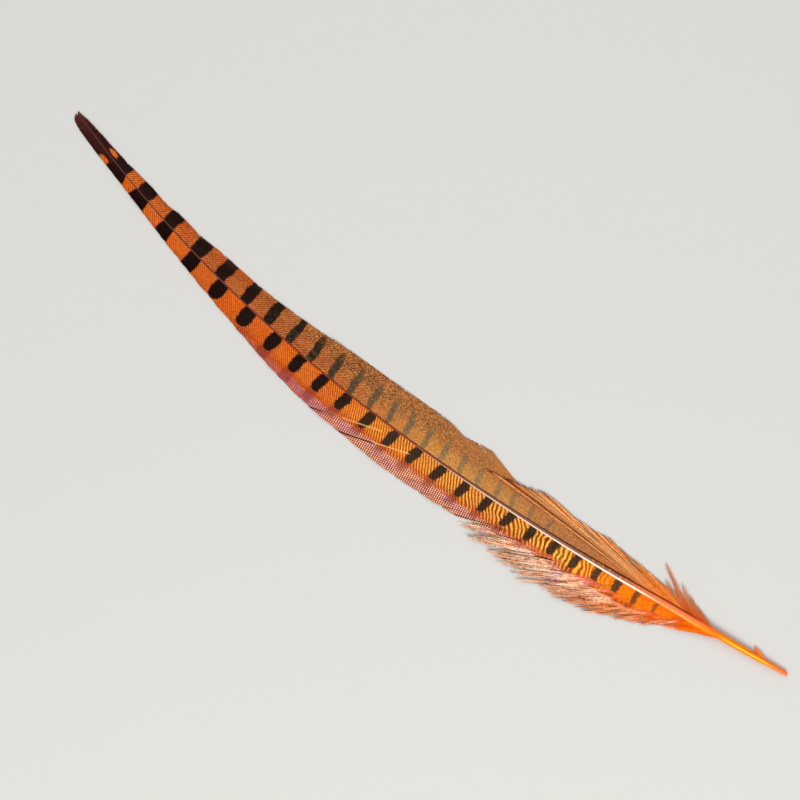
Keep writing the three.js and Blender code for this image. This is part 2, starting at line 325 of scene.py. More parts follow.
class StageSettings(bpy.types.PropertyGroup):
    """The floor, the light and the view."""

    floor: colour_setting("Floor", "Colour of the floor", 204, 203, 200)
    view_width: length_setting("View width", "Width of the picture at the feather", 440)
    lens: bpy.props.FloatProperty(name="Lens", description="Focal length in mm", default=200, min=1)
    key: size_setting("Key light", "Its power", 32, unit="POWER")
    fill: size_setting("Fill light", "Its power", 13, unit="POWER")
    sky: size_setting("Sky", "Brightness of the surroundings", 0.5)


# --- Shader maths ------------------------------------------------------------------------------------


class Value:
    """A number that varies over a surface. Arithmetic on it adds Math nodes."""

    def __init__(self, finish, socket):
        self.finish = finish
        self.socket = socket

    def maths(self, operation, *terms):
        node = self.finish.node("ShaderNodeMath", {"operation": operation}, dict(enumerate(terms)))
        return Value(self.finish, node.outputs[0])

    def __add__(self, other):
        return self.maths("ADD", self, other)

    def __sub__(self, other):
        return self.maths("SUBTRACT", self, other)

    def __rsub__(self, other):
        return self.maths("SUBTRACT", other, self)

    def __mul__(self, other):
        return self.maths("MULTIPLY", self, other)

    __radd__ = __add__
    __rmul__ = __mul__

    def sine(self):
        """The sine of a number of whole turns."""
        return self.maths("SINE", self * (2 * math.pi))

    def wave(self):
        """From 0 to 1 and back once for each unit."""
        return self.sine() * 0.5 + 0.5

    def distance(self, other):
        return self.maths("ABSOLUTE", self - other)

    def rise(self, low, high):
        """0 below low, 1 above high and smooth between them; falls instead where low is over high."""
        node = self.finish.node(
            "ShaderNodeMapRange",
            {"interpolation_type": "SMOOTHSTEP"},
            {"Value": self, "From Min": low, "From Max": high},
        )
        return Value(self.finish, node.outputs["Result"])


class Finish:
    """A procedural material while its nodes are laid out, and the colour that is painted so far."""

    def __init__(self, name, specular, roughness=0.5):
        self.material = bpy.data.materials.new(name)
        self.material.use_nodes = True
        self.tree = self.material.node_tree
        self.tree.nodes.clear()
        inputs = {"Roughness": roughness, "Specular IOR Level": specular}
        self.shader = self.node("ShaderNodeBsdfPrincipled", inputs=inputs)
        self.node("ShaderNodeOutputMaterial", inputs={"Surface": self.shader.outputs["BSDF"]})
        self.colour = None

    def node(self, kind, settings=None, inputs=None):
        """Adds one node: its settings come first, then the values or links of its sockets."""
        node = self.tree.nodes.new(kind)
        for name, setting in (settings or {}).items():
            if name == "stops":
                self.lay_stops(node.color_ramp.elements, setting)
            else:
                setattr(node, name, setting)
        for key, value in (inputs or {}).items():
            self.set(node.inputs[key], value)
        return node

    def set(self, socket, value):
        if isinstance(value, Value):
            value = value.socket
        if isinstance(value, bpy.types.NodeSocket):
            self.tree.links.new(value, socket)
        elif socket.type == "RGBA":
            socket.default_value = (*value[:3], 1)
        else:
            socket.default_value = value

    def lay_stops(self, elements, stops):
        while len(elements) < len(stops):
            elements.new(0.5)
        for element, (position, colour) in zip(elements, stops):
            element.position = position
            element.color = (*colour, 1)

    def mix(self, amount, first, second, blend="MIX"):
        """A colour between two, or the second laid on the first by a blend."""
        settings = {"data_type": "RGBA", "blend_type": blend}
        return self.node("ShaderNodeMix", settings, {0: amount, 6: first, 7: second}).outputs[2]

    def ramp(self, value, *stops):
        """A colour that changes through (value, colour) stops."""
        return self.node("ShaderNodeValToRGB", {"stops": stops}, {"Fac": value}).outputs["Color"]

    def lengthwise(self, station, *stops):
        """A ramp along the shaft, its stops given as millimetres, red, green and blue."""
        stops = [(place / LENGTH, shade(*parts)) for place, *parts in stops]
        return self.ramp(station * (1 / LENGTH), *stops)

    def attribute(self, name):
        return Value(self, self.node("ShaderNodeAttribute", {"attribute_name": name}).outputs["Fac"])

    def parts(self, vector):
        """The first two numbers of a vector."""
        node = self.node("ShaderNodeSeparateXYZ", inputs={0: vector})
        return Value(self, node.outputs[0]), Value(self, node.outputs[1])

    def map(self):
        """The two places of the piece's own map."""
        return self.parts(self.node("ShaderNodeUVMap", {"uv_map": BAKE_MAP}).outputs["UV"])

    def spot(self):
        """The object's own X and Y, in metres."""
        return self.parts(self.node("ShaderNodeTexCoord").outputs["Object"])

    def noise(self, x, y, z=0, detail=2):
        """Smooth noise from 0 to 1, one lump for each unit of its places."""
        spot = self.node("ShaderNodeCombineXYZ", inputs={0: x, 1: y, 2: z})
        inputs = {"Vector": spot.outputs[0], "Scale": 1, "Detail": detail}
        return Value(self, self.node("ShaderNodeTexNoise", inputs=inputs).outputs[0])

    def bump(self, height, strength, distance):
        inputs = {"Height": height, "Strength": strength, "Distance": distance * MM}
        self.set(self.shader.inputs["Normal"], self.node("ShaderNodeBump", inputs=inputs).outputs[0])

    def paint(self, amount, colour, blend="MIX"):
        """Lays one more colour over those that were painted before."""
        self.colour = self.mix(amount, self.colour, colour, blend)

    def done(self):
        self.set(self.shader.inputs["Base Color"], self.colour)
        return self.material


# --- Finishes ----------------------------------------------------------------------------------------


def vane_places(finish, reach):
    """Places along and out on a vane, with each barb's own random number and its order."""
    share, side = finish.map()
    return share * LENGTH, side * reach, finish.attribute("unlike"), finish.attribute("order")


def left_vane_finish(colours, reach):
    """Orange with yellow and rust stripes, dark ovals by the shaft, a red band and a beaded pink rim."""
    finish = Finish("left vane", specular=0.05, roughness=0.62)
    station, out, unlike, order = vane_places(finish, reach)
    light = finish.lengthwise(
        station, (66, 246, 118, 8), (100, 250, 142, 20), (120, 250, 172, 54),
        (140, 252, 202, 90), (170, 250, 188, 80), (200, 248, 180, 78), (230, 242, 170, 76),
        (262, 242, 162, 60), (295, 232, 134, 50), (312, 230, 132, 44), (350, 226, 122, 40),
        (390, 226, 126, 48), (412, 236, 134, 50), (430, 238, 134, 48), (455, 236, 124, 34),
    )
    deep = finish.lengthwise(
        station, (66, 236, 84, 0), (100, 224, 100, 0), (120, 190, 86, 10),
        (140, 140, 50, 0), (170, 138, 44, 2), (200, 132, 44, 4), (230, 158, 70, 12),
        (262, 162, 70, 12), (295, 162, 58, 16), (312, 180, 76, 18), (350, 188, 78, 22),
        (390, 182, 76, 20), (412, 176, 66, 16), (430, 178, 66, 16), (455, 174, 66, 10),
    )
    stripes = (finish.attribute("stripe") + (unlike - 0.5) * 0.12).wave().rise(0.2, 0.8)
    patchy = finish.noise(station * 0.11, out * 0.3).rise(0.3, 0.66)
    strength = (0.62 + patchy * 0.38) * station.rise(94, 124)
    strength = strength * (1 - patchy.rise(0.9, 0.2) * station.rise(325, 350) * 0.7)
    finish.colour = finish.mix((stripes - 0.5) * strength + 0.5, light, deep)
    finish.paint(station.rise(120, 96) * 0.7, shade(240, 130, 14))
    blush = finish.noise(station * 0.1, out * 0.22, 4).rise(0.54, 0.72)
    finish.paint(blush * (0.18 + station.rise(104, 74) * 0.5), shade(240, 72, 2))
    # The red band, and the pink rim beyond it with its rows of pale beads.
    tipward = station.rise(366, 345)
    drift = finish.noise(station * 0.13, out * 0.2, 2) * 4 - 2
    rim = finish.attribute("rim") + (unlike - 0.5) * 0.8 + drift
    finish.paint(rim.rise(-5, -0.8) * tipward * (0.4 + stripes * 0.6), colours.red)
    columns = (station * (1 / 1.24) + out * 0.08).wave()
    rows = (out * (1 / 1.15) - station * 0.24).wave()
    beads = columns * rows
    hue = finish.noise(station * 0.055, out * 0.16, 9)
    pink = finish.mix(hue.rise(0.5, 0.66) * 0.8, colours.pink, shade(180, 96, 140))
    pink = finish.mix(hue.rise(0.42, 0.3) * 0.6, pink, shade(214, 122, 66))
    pink = finish.mix((1 - columns).rise(0.5, 1) * 0.85, pink, shade(118, 42, 34))
    pink = finish.mix(beads.rise(0.22, 0.7) * 0.95 * station.rise(335, 285), pink, shade(255, 222, 184))
    pink = finish.mix(station.rise(255, 310) * 0.35, pink, shade(190, 84, 70))
    finish.paint(rim.rise(-1.4, 1) * tipward * station.rise(95, 130), pink)
    # The bars, and a maroon smear beyond each.
    bar = finish.attribute("bar")
    smear = finish.attribute("beside").rise(0.8, -1.2) * rim.rise(-5, -2.5) * rim.rise(5, 1) * tipward
    finish.paint(smear * 0.6, shade(140, 44, 36))
    dark = finish.lengthwise(
        station, (80, 118, 66, 36), (106, 100, 62, 38), (130, 78, 52, 34),
        (176, 60, 40, 27), (220, 52, 35, 25), (250, 62, 42, 29), (280, 44, 29, 21),
        (312, 32, 18, 13), (357, 38, 22, 17), (385, 30, 13, 9), (440, 32, 11, 9),
        (465, 42, 15, 12),
    )
    dark = finish.mix(stripes.rise(0.5, 0) * 0.25 * station.rise(300, 240), dark, shade(112, 80, 54))
    strength = station.rise(76, 104) * 0.4 + 0.6
    finish.paint(bar.rise(0.3, -0.3) * strength, dark)
    # The light edge where the barbs have parted, and painted shadow in the gap between them.
    seam = finish.attribute("seam")
    finish.paint(seam.rise(0.2, 0.9) * 0.62, shade(244, 190, 108))
    finish.paint(seam.rise(-0.1, -0.8) * 0.85, shade(48, 20, 12))
    return finish_barbs(finish, colours, station, out, unlike, order)


def right_vane_finish(colours, reach):
    """Tan, duller and speckled towards the margin, with bars that fade towards the quill."""
    finish = Finish("right vane", specular=0.05, roughness=0.66)
    station, out, unlike, order = vane_places(finish, reach)
    inner = finish.lengthwise(
        station, (66, 228, 94, 6), (82, 224, 106, 22), (100, 210, 120, 52),
        (125, 192, 124, 72), (150, 188, 126, 74), (190, 198, 142, 80), (230, 203, 144, 74),
        (262, 190, 120, 62), (300, 162, 82, 41), (340, 170, 85, 40), (380, 180, 84, 34),
        (440, 200, 82, 20), (470, 216, 102, 18),
    )
    outer = finish.lengthwise(
        station, (66, 216, 92, 20), (100, 202, 122, 62), (140, 192, 124, 72),
        (200, 184, 122, 70), (260, 158, 104, 60), (300, 136, 79, 42), (340, 160, 84, 34),
        (380, 206, 94, 12), (440, 216, 98, 8), (470, 220, 104, 10),
    )
    finish.colour = finish.mix(out.rise(6, 11.5), inner, outer)
    warm = finish.noise(station * 0.08, out * 0.14, 3).rise(0.4, 0.66)
    finish.paint(warm * 0.35 * station.rise(130, 180), shade(212, 134, 48))
    # Fine stripes that cross the barbs, and speckles in the dull outer part.
    stripes = (finish.attribute("stripe") + (unlike - 0.5) * 0.2).wave()
    tipward = station.rise(235, 330) * station.rise(500, 450)
    tipward = tipward * (1 - out.rise(7.5, 10) * station.rise(340, 365) * 0.6)
    pale = finish.mix(station.rise(350, 420), shade(230, 148, 84), shade(238, 138, 68))
    finish.paint(stripes.rise(0.5, 0.95) * tipward * 0.65, pale)
    finish.paint(stripes.rise(0.5, 0.05) * tipward * 0.5, shade(132, 50, 16))
    specks = finish.noise(station * 1.1 + out * 0.5, out * 1.5, unlike * 1.5, detail=3)
    speckled = 0.45 + out.rise(6.5, 11) * station.rise(190, 240) * station.rise(372, 320) * 0.55
    finish.paint(specks.rise(0.51, 0.62) * speckled * 0.75, shade(84, 46, 22))
    finish.paint(specks.rise(0.47, 0.36) * speckled * 0.75, shade(236, 172, 108))
    # The bars.
    bar = finish.attribute("bar")
    dark = finish.mix(station.rise(215, 325), colours.right_bar, shade(42, 30, 23))
    dark = finish.mix(station.rise(335, 385), dark, shade(42, 23, 18))
    olive = finish.noise(station * 0.5, out * 0.5, 6).rise(0.42, 0.62) * out.rise(11, 8)
    dark = finish.mix(olive * station.rise(366, 318) * 0.5, dark, shade(98, 86, 62))
    dark = finish.mix(out.rise(7, 10) * station.rise(355, 380) * 0.5, dark, shade(84, 50, 46))
    strength = station.rise(180, 290) * 0.42 + 0.58 - out.rise(8, 15) * station.rise(340, 300) * 0.35
    broken = 1 - specks.rise(0.46, 0.38) * station.rise(330, 260) * 0.4
    finish.paint(bar.rise(0.4, -0.4) * strength * broken, dark)
    # The drawn-out barbs of the lower part, each its own tone with painted shade in it, and painted shadow
    # at their ends.
    drawn = finish.attribute("drawn")
    tone = finish.attribute("tone") + (specks - 0.5) * 0.35
    strand = finish.ramp(
        tone, (0.08, shade(72, 34, 16)), (0.3, shade(170, 88, 38)), (0.52, shade(222, 136, 68)),
        (0.8, shade(254, 200, 138)),
    )
    strand = finish.mix(station.rise(116, 76) * 0.7, strand, shade(240, 124, 32))
    # Painted shadow where the ends of the drawn-out barbs lie over the barbs beneath.
    end_shadow = finish.attribute("share").rise(0.982, 0.993) * station.rise(155, 172)
    strand = finish.mix(end_shadow * 0.8, strand, shade(74, 34, 16))
    finish.paint(drawn, strand)
    return finish_barbs(finish, colours, station, out, unlike, order)


def finish_barbs(finish, colours, station, out, unlike, order):
    """What both vanes share: the dark tip, and fine changes from barb to barb and along each one."""
    tip = finish.mix(finish.noise(station * 0.2, out * 0.6, 5) * 0.5, colours.tip, shade(72, 33, 28))
    tip = finish.mix(station.rise(488, 500) * 0.5, tip, shade(86, 40, 34))
    spot = finish.attribute("spot")
    finish.paint(finish.attribute("tip").rise(-0.3, 0.3) * spot.rise(0.85, 1.1), tip)
    bands = finish.noise(order * 0.4, station * 0.02, 8, detail=3)
    grain = finish.noise(station * 0.9, out * 0.9, unlike, detail=3)
    tone = unlike * 0.16 + bands * 0.3 + grain.rise(0.28, 0.72) * 0.42 + 0.56
    grey = finish.node("ShaderNodeCombineColor", inputs={0: tone, 1: tone, 2: tone}).outputs[0]
    finish.paint(1, grey, "MULTIPLY")
    return finish.done()


def loose_barb_finish(colours):
    """Cream, pink and mauve strands, redder at their roots, with painted shade deep between the locks."""
    finish = Finish("loose barbs", specular=0.15, roughness=0.7)
    unlike = finish.attribute("unlike")
    lock = finish.attribute("lock")
    share = finish.attribute("share")
    order = finish.attribute("order")
    x, y = (size * (1 / MM) for size in finish.spot())
    patches = finish.noise(x * 0.11, y * 0.16, 1)
    finish.colour = finish.ramp(
        unlike * 0.3 + lock * 0.25 + patches.rise(0.3, 0.7) * 0.45, (0.12, shade(158, 74, 44)),
        (0.26, shade(230, 130, 64)), (0.42, colours.fringe), (0.58, shade(248, 206, 164)),
        (0.72, shade(224, 156, 146)), (0.88, shade(184, 132, 152)),
    )
    finish.paint(order.rise(178, 112) * 0.75, shade(236, 122, 44))
    # Barbules break the barbs into light and dark dashes, and threads of them lie light or dark together.
    dashes = finish.noise(order * 0.6, share * 26, unlike * 0.8)
    threads = finish.noise(order * 0.75, share * 2.5, 7, detail=1)
    grain = dashes * 0.48 + threads * 0.52
    light = finish.mix(order.rise(166, 118) * 0.7, shade(255, 232, 206), shade(255, 190, 112))
    finish.paint(grain.rise(0.51, 0.59) * 0.9, light)
    finish.paint(grain.rise(0.48, 0.4) * 0.92, shade(104, 42, 38))
    # Painted shade in dark lines between the locks, and a painted shadow line along one deep fold.
    between = finish.attribute("edge").rise(0.84, 0.98) * share.rise(0.3, 0.5)
    finish.paint(between * 0.6, shade(110, 42, 32))
    crease_shadow = order.distance(LOOSE_CREASE_SHADOW).rise(1, 0.5) * share.rise(0.2, 0.4)
    finish.paint(crease_shadow * 0.85, shade(72, 28, 24))
    finish.paint(share.rise(0.34, 0.05) * 0.8, shade(224, 86, 32))
    return finish.done()


def down_finish(colours):
    """Orange at the root, buff and grey towards the tips; redder on the left."""
    finish = Finish("down", specular=0.1, roughness=0.78)
    unlike = finish.attribute("unlike")
    share = finish.attribute("share")
    left = finish.attribute("left")
    finish.colour = finish.mix(unlike.rise(0.1, 0.9), colours.down, shade(246, 164, 104))
    finish.paint(share.rise(0.6, 0.1), shade(238, 110, 28))
    finish.paint(share.rise(0.55, 1) * 0.65, shade(202, 150, 118))
    red = finish.mix(unlike.rise(0.25, 0.75), shade(248, 96, 0), shade(255, 156, 20))
    finish.paint(left, red)
    return finish.done()


def shaft_finish(colours):
    """Glossy keratin: orange at the quill, then a cream line on the left and mauve on the right, partly
    painted highlight and painted shade.
    """
    finish = Finish("shaft", specular=0.1)
    share, turn = finish.map()
    station = share * LENGTH
    across = turn.sine()
    grain = finish.noise(station * 0.12, across * 1.6)
    flecks = finish.noise(station * 0.55, across * 0.7, 7)
    quill = finish.mix(grain.rise(0.46, 0.66) * 0.7, colours.quill, shade(248, 84, 0))
    # Painted highlight: a yellow streak along the quill where it catches the light.
    quill_highlight = across.distance(0.15).rise(0.42, 0.1) * station.rise(6, 14) * station.rise(48, 32)
    quill = finish.mix(quill_highlight * 0.85, quill, shade(255, 206, 30))
    quill = finish.mix(station.rise(16, 2) * 0.6, quill, shade(238, 116, 66))
    blush = across.rise(0.1, -0.4) * (station.rise(30, 52) + station.rise(26, 12) * 0.7)
    quill = finish.mix(blush * 0.8, quill, shade(244, 112, 48))
    # Colour and painted light together: the mauve right side is partly painted shade, the cream left side
    # partly a painted highlight.
    right = finish.mix(station.rise(80, 114), shade(232, 118, 66), colours.mauve)
    spotted = flecks.rise(0.56, 0.62) * station.rise(80, 88) * station.rise(140, 120)
    right = finish.mix(spotted, right, shade(250, 136, 42))
    left = finish.mix(station.rise(52, 72), shade(255, 172, 30), shade(240, 154, 84))
    left = finish.mix(station.rise(78, 98), left, colours.cream)
    left = finish.mix(station.rise(120, 170) * 0.4, left, shade(206, 168, 140))
    upper = finish.mix(across.rise(0.24, 0.5), right, left)
    # Painted shade: a dark line along the shaft's shaded right flank, beside the right vane.
    edge = finish.mix(station.rise(80, 108), shade(140, 48, 8), shade(64, 24, 13))
    upper = finish.mix(across.rise(-0.4, -0.68) * 0.95, upper, edge)
    finish.colour = finish.mix(station.rise(46, 66), quill, upper)
    line = finish.mix(station.rise(300, 440), shade(128, 56, 34), shade(84, 58, 52))
    thinned = station.rise(178, 225) * (1 - across.rise(0.3, 0.8) * station.rise(260, 200))
    finish.paint(thinned, line)
    finish.set(finish.shader.inputs["Roughness"], grain * 0.16 + 0.28)
    finish.bump(finish.noise(station * 0.4, across * 5), 0.25, 0.12)
    return finish.done()


def floor_finish(colour):
    """Pale and matt, with a faint mottle."""
    finish = Finish("floor", specular=0.1, roughness=0.9)
    x, y = finish.spot()
    mottle = finish.noise(x * 3, y * 3)
    finish.colour = finish.mix(mottle * 0.06, tuple(colour), shade(214, 213, 211))
    return finish.done()


# --- Strands -----------------------------------------------------------------------------------------


def deselect():
    if bpy.context.object and bpy.context.object.mode != "OBJECT":
        bpy.ops.object.mode_set(mode="OBJECT")
    bpy.ops.object.select_all(action="DESELECT")


def deselect_parts(kind):
    """Leaves nothing of the active mesh selected, and sets what kind of part is selected next."""
    bpy.ops.object.mode_set(mode="EDIT")
    bpy.ops.mesh.select_mode(type=kind)
    bpy.ops.mesh.select_all(action="DESELECT")
    bpy.ops.object.mode_set(mode="OBJECT")


def corner_points(mesh):
    return np.array([vertex.co for vertex in mesh.vertices])


def ringed_cylinder(sides, rings):
    """A closed cylinder of unit height and radius, cut into rings along its length."""
    deselect()
    bpy.ops.mesh.primitive_cylinder_add(vertices=sides, radius=1, depth=1)
    cylinder = bpy.context.object
    mesh = cylinder.data
    deselect_parts("EDGE")
    for edge in mesh.edges:
        first, second = (mesh.vertices[i].co.z for i in edge.vertices)
        edge.select = abs(first - second) > 0.5
    if rings > 2:
        bpy.ops.object.mode_set(mode="EDIT")
        bpy.ops.mesh.subdivide(number_cuts=rings - 2)
        bpy.ops.object.mode_set(mode="OBJECT")
    return cylinder


def pattern_strand(rings):
    """One closed three-sided strand: for each corner its ring, its place across and up, and the faces."""
    strand = ringed_cylinder(3, rings)
    mesh = strand.data
    corners = corner_points(mesh)
    faces = [tuple(polygon.vertices) for polygon in mesh.polygons]
    bpy.data.objects.remove(strand)
    bpy.data.meshes.remove(mesh)
    ring = np.rint((corners[:, 2] + 0.5) * (rings - 1)).astype(int)
    across = corners[:, 0] / corners[:, 0].max()
    up = (corners[:, 1] - corners[:, 1].min()) / np.ptp(corners[:, 1])
    return ring, across, up, faces


def ring_shares(rings):
    """How far along a strand each of its rings is, as one row."""
    return np.linspace(0, 1, rings)[None, :]


def by_ring(value, paths):
    """A value for each ring of each strand, from one number, one for each strand, or rows of either."""
    value = np.asarray(value, float)
    return np.broadcast_to(value[:, None] if value.ndim == 1 else value, paths.shape[:2])


def strand_mesh(name, groups):
    """One mesh of many closed strands.

    Each group is a dict of paths (strands, rings, 3) in the feather's own terms, half widths, depths and
    values by attribute name as by_ring takes them, and a map: either a function of places, or places
    (strands, rings, 2) with the width that the map spreads across a strand.
    """
    points, faces, places, values = [], [], [], {}
    start = 0
    for group in groups:
        paths = group["paths"]
        ring, across, up, pattern = pattern_strand(len(paths[0]))
        _, left = directions(np.gradient(paths, axis=1)[..., :2])
        reach = by_ring(group["half"], paths)[:, ring] * across
        flat = paths[:, ring, :2] + left[:, ring] * reach[..., None]
        lifted = paths[:, ring, 2] + by_ring(group["depth"], paths)[:, ring] * (up - 0.5)
        points.append(place(flat[..., 0], flat[..., 1], lifted).reshape(-1, 3))
        if "map_width" in group:
            spread = np.stack([across * group["map_width"], np.zeros(len(ring))], -1)
            places.append((group["map"][:, ring] + spread).reshape(-1, 2))
        else:
            places.append(group["map"](flat).reshape(-1, 2))
        for key, value in group["values"].items():
            values.setdefault(key, []).append(by_ring(value, paths)[:, ring].ravel())
        for first in range(start, start + len(paths) * len(ring), len(ring)):
            faces += [tuple(first + corner for corner in face) for face in pattern]
        start += len(paths) * len(ring)
    mesh = bpy.data.meshes.new(name)
    mesh.from_pydata(np.concatenate(points), [], faces)
    lay_map(mesh, np.concatenate(places)[loop_corners(mesh)])
    for key, parts in values.items():
        layer = mesh.attributes.new(key, "FLOAT", "POINT")
        layer.data.foreach_set("value", np.concatenate(parts).astype(np.float32))
    mesh.shade_flat()
    return mesh


def loop_corners(mesh):
    """The corner point of each of the faces' loops."""
    corners = np.empty(len(mesh.loops), np.int32)
    mesh.loops.foreach_get("vertex_index", corners)
    return corners


def lay_map(mesh, places):
    """Lays the piece's own map, with a place for each loop."""
    layer = mesh.uv_layers.new(name=BAKE_MAP)
    layer.uv.foreach_set("vector", np.clip(places, 0, 1).astype(np.float32).ravel())


def add_object(name, mesh, material):
    """Puts a finished mesh in the scene."""
    mesh.materials.append(material)
    made = bpy.data.objects.new(name, mesh)
    bpy.context.scene.collection.objects.link(made)
    return made


def settle(piece):
    """Makes a finished object one of the feather's pieces."""
    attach(piece, BODY)
    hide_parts(NODE)


# --- Vanes -------------------------------------------------------------------------------------------


VANE_RINGS = 26  # along each barb
FAR = 99.0  # further away than any mark on the vane
LONGEST_BARB = 1.4  # as a share of the way to the vane's guide
SHORTEST_BARB = 0.2
BARB_TRIES = 181  # lengths at which a barb is compared with the margin
PAST_MARGIN = 0.3  # how far outside the margin a barb's end is looked for, before it is drawn back
SWAY = 0.35  # of the barbs, along the feather
SPLIT_FADE = 4  # how far from a split the barbs have closed up again
BAR_CENTRE = 0.35  # where a bar is widest, as a share of how far out it reaches
BAR_ROUNDING = 2.6  # 2 is an ellipse, more is squarer


def vane_height(station, out):
    """Height of the vane: it slopes down from the shaft, then lies flat on the surface."""
    root = SHAFT_RISE(station) + 0.2 * SHAFT_DEPTH(station)
    slope = np.minimum(1, np.abs(out) / SPREAD(station)) ** 1.5
    return np.maximum(VANE_RIM, root + (VANE_RIM - root) * slope)


def bar_fields(station, out, shape):
    """How far each place is outside the nearest bar, in millimetres, and how far beside its way outwards.

    Both are negative inside.
    """
    nearest = np.full(station.shape, FAR)
    beside = nearest.copy()
    for middle, half in shape["bars"]:
        reach = shape["bar_reach"](middle)
        centre = BAR_CENTRE * reach
        away = np.abs(out - centre) / (reach - centre)
        away = np.where(out < centre, away * shape["bar_waist"](middle), away)
        rounded = np.maximum(0, 1 - away**BAR_ROUNDING) ** (1 / BAR_ROUNDING)
        off = np.abs(station - middle - shape["bar_lean"](middle) * (out - centre))
        nearest = np.minimum(nearest, off - half * rounded + np.maximum(0, away - 1) * 4)
        beside = np.minimum(beside, off - half)
    return nearest, beside


def stripe_phase(station, out, pitch_of, lean_of):
    """Counts the fine stripes along the shaft, in whole stripes."""
    grid = np.linspace(0, LENGTH, 1001)
    counted = np.cumsum(1 / pitch_of(grid)) * (grid[1] - grid[0])
    return np.interp(station, grid, counted) + out * lean_of(station) / pitch_of(station)


def lumps(station, out, rng, length, width):
    """A smooth random field between -1 and 1, its lumps of a given length and width."""
    across, along_it = np.maximum(out, 0) / width, np.maximum(station, 0) / length
    grid = rng.uniform(-1, 1, (int(along_it.max()) + 2, int(across.max()) + 2))
    i, j = along_it.astype(int), across.astype(int)
    u, v = along_it - i, across - j
    u, v = u * u * (3 - 2 * u), v * v * (3 - 2 * v)
    near = grid[i, j] * (1 - v) + grid[i, j + 1] * v
    far = grid[i + 1, j] * (1 - v) + grid[i + 1, j + 1] * v
    return near * (1 - u) + far * u


def lock_layout(edges, rng, narrow, wide):
    """Groups barbs into locks, each between narrow and wide.

    Gives each barb's place in its lock from -1 to 1, the lock's half width and the lock's number.
    """
    bounds = [edges[0]]
    while bounds[-1] < edges[-1]:
        bounds.append(bounds[-1] + rng.uniform(narrow, wide))
    bounds = np.array(bounds)
    lock = np.clip(np.searchsorted(bounds, edges, side="right") - 1, 0, len(bounds) - 2)
    half = (bounds[lock + 1] - bounds[lock]) / 2
    return (edges - bounds[lock] - half) / half, half, lock


def ripple(place, rng, length, count=5):
    """A smooth random wave of about one unit's height."""
    total = np.zeros(len(place))
    for _ in range(count):
        total += np.sin(place * 2 * math.pi / (length * rng.uniform(0.6, 1.8)) + rng.uniform(0, 6.3))
    return total / math.sqrt(count)


def parting(apart, share, start, end, gap, fade):
    """How far a split moves the barbs that are apart from it on either side: less beyond the fade."""
    opened = np.sin(math.pi * np.clip((share - start) / (end - start), 0, 1))
    return np.sign(apart) * gap / 2 * np.exp(-np.abs(apart) / fade) * opened


def vane_map(reach):
    """A map whose places are the share of the feather's length and the share of a reach outwards."""
    return lambda flat: np.stack([flat[..., 0] / LENGTH, np.abs(flat[..., 1]) / reach], -1)


def bent_way(roots, middle, tips, part):
    """Places along curves that leave roots towards middle and come into tips from there."""
    return roots * (1 - part) ** 2 + 2 * middle * part * (1 - part) + tips * part**2


def barb_ends(edges, run, within, shape, rng):
    """How much of its way each barb goes: up to the vane's margin, a little short between two locks."""
    guide = shape["guide"](edges)
    least = shape["least"](edges)[:, None]
    tries = least + (LONGEST_BARB - least) * np.linspace(0, 1, BARB_TRIES)[None, :]
    limit = shape["margin"](run(tries)) * shape["filled"](run(tries)) + PAST_MARGIN
    outside = tries * guide[:, None] > limit
    outside[:, -1] = True
    ends = np.take_along_axis(tries, np.argmax(outside, axis=1)[:, None], 1)[:, 0]
    ragged = shape["ragged"] * ripple(edges, rng, 9) + 0.04 * rng.normal(0, 1, len(edges))
    ragged -= shape["notch"](edges) * np.abs(within) ** 4
    return np.maximum(ends + (ragged - PAST_MARGIN) / guide, SHORTEST_BARB)


def open_splits(station, edges, share, splits):
    """Parts the barbs at each split, and gives where its light edge (1) and the painted shadow in its gap
    (-1) are.
    """
    seam = np.zeros_like(station)
    for at, start, end, gap, light_end, dark_start in splits:
        apart = (edges - at)[:, None]
        station = station + parting(apart, share, start, end, gap, SPLIT_FADE)
        lit = np.clip(1.6 - np.abs(apart - 0.9), 0, 1) * (share > start) * (share < light_end)
        shaded = np.clip(1.6 - np.abs(apart + 0.8), 0, 1) * (share > dark_start) * (share < end)
        seam += lit - shaded
    return station, seam


def vane_marks(station, out, step, shape, rng):
    """How far each place is from the marks of the vane, from which its colours are worked out."""
    waver = shape["waver"](station) * (
        lumps(station, out, rng, 7, 5) + 0.6 * lumps(station, out, rng, 3.2, 2.6)
    )
    crooked = shape["crooked"](station) * lumps(station, out, rng, 9, 3.5)
    bar, beside = bar_fields(station + step + crooked, out, shape)
    spot_along, spot_out, spot_length, spot_width = shape["spot"]
    return {
        "bar": bar,
        "beside": beside,
        "stripe": stripe_phase(station, out, shape["pitch"], shape["lean"]) + waver,
        "rim": out - LEFT_RIM(station),
        "tip": station + step - TIP_START,
        "spot": np.hypot((station + step - spot_along) / spot_length, (out - spot_out) / spot_width),
    }


